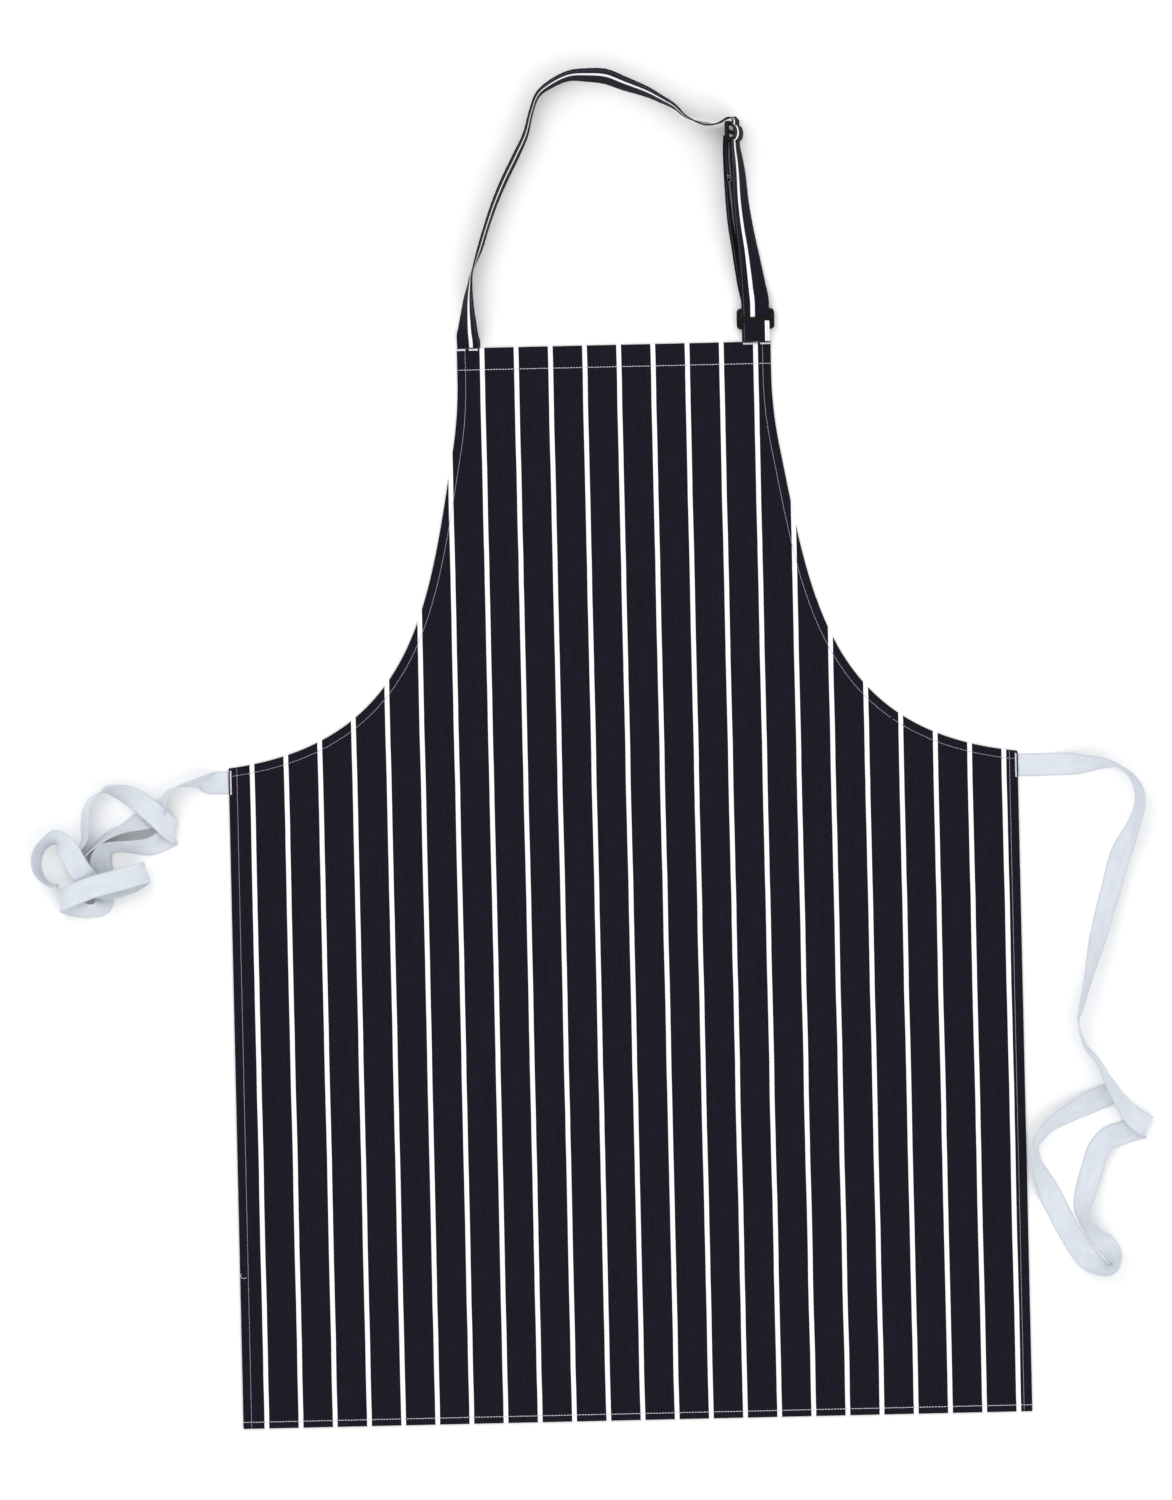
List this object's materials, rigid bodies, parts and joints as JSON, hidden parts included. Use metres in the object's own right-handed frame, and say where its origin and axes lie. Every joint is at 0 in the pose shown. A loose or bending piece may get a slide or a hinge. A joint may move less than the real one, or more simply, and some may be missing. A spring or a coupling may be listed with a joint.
{
  "type": "butcher apron",
  "caption": "Striped bib apron with an adjustable neck strap on a three-bar slider and buckle, and two loose waist ties, lying face up.",
  "frame": {"origin": "on the back of the cloth, in the middle of the line between the two waist corners", "axes": "+X to the apron's right-hand side as it lies face up, +Y from hem to neck, +Z out of the striped face"},
  "size_m": [1.0154, 1.2306, 0.0336],
  "materials": {
    "navy_cloth": "navy-black cotton twill with woven white stripes",
    "white_tape": "white woven tape",
    "white_thread": "white sewing thread",
    "black_plastic": "moulded black plastic"
  },
  "bodies": {
    "skirt": {"skirt_panel": "navy_cloth", "hem_lower_edge": "navy_cloth", "hem_armhole_skirt_left": "navy_cloth", "hem_armhole_skirt_right": "navy_cloth", "hem_side_left": "navy_cloth", "hem_side_right": "navy_cloth", "stitch_lower_edge": "white_thread", "stitch_armhole_skirt_left": "white_thread", "stitch_armhole_skirt_right": "white_thread", "stitch_side_left": "white_thread", "stitch_side_right": "white_thread", "tie_sewn_end_left": "white_tape", "tie_sewn_end_right": "white_tape", "bartack_tie_left": "white_thread", "bartack_tie_right": "white_thread"},
    "bib": {"bib_panel": "navy_cloth", "hem_neck_edge": "navy_cloth", "hem_armhole_bib_left": "navy_cloth", "hem_armhole_bib_right": "navy_cloth", "stitch_neck_edge": "white_thread", "stitch_armhole_bib_left": "white_thread", "stitch_armhole_bib_right": "white_thread", "neck_strap_sewn_end": "navy_cloth", "buckle_tab_sewn_end": "navy_cloth", "bartack_neck_strap": "white_thread", "bartack_buckle_tab": "white_thread"},
    "neck_strap": {"neck_strap_long_run": "navy_cloth", "neck_strap_front_run": "navy_cloth", "neck_strap_return_run": "navy_cloth", "buckle_tab": "navy_cloth"},
    "lower_buckle": {"lower_buckle": "black_plastic", "neck_strap_buckle_loop": "navy_cloth"},
    "slider": {"strap_slider": "black_plastic", "neck_strap_slider_pass": "navy_cloth", "neck_strap_tail": "navy_cloth"},
    "tie_left": {"tie_left": "white_tape"},
    "tie_right": {"tie_right": "white_tape"}
  },
  "joints": [
    {"name": "bib_fold", "type": "hinge", "parent": "skirt", "child": "bib", "pos_m": [0, 0.038, 0.003], "axis": [1, 0, 0], "range_deg": [0, 100]},
    {"name": "neck_strap_fold", "type": "hinge", "parent": "bib", "child": "neck_strap", "pos_m": [0, 0.3781, 0.0034], "axis": [1, 0, 0], "range_deg": [0, 75]},
    {"name": "lower_buckle_tilt", "type": "hinge", "parent": "neck_strap", "child": "lower_buckle", "pos_m": [0.1297, 0.3909, 0.004], "axis": [1, 0, 0], "range_deg": [0, 60]},
    {"name": "strap_slider_slide", "type": "slide", "parent": "neck_strap", "child": "slider", "axis": [0.09, -0.9959, 0], "range_m": [0, 0.085], "deforming": ["neck_strap_front_run", "neck_strap_return_run", "neck_strap_long_run"]},
    {"name": "tie_left_fold", "type": "hinge", "parent": "skirt", "child": "tie_left", "pos_m": [-0.3597, -0.013, 0.003], "axis": [0, 1, 0], "range_deg": [0, 100]},
    {"name": "tie_right_fold", "type": "hinge", "parent": "skirt", "child": "tie_right", "pos_m": [0.3597, -0.013, 0.003], "axis": [0, 1, 0], "range_deg": [-100, 0]}
  ]
}
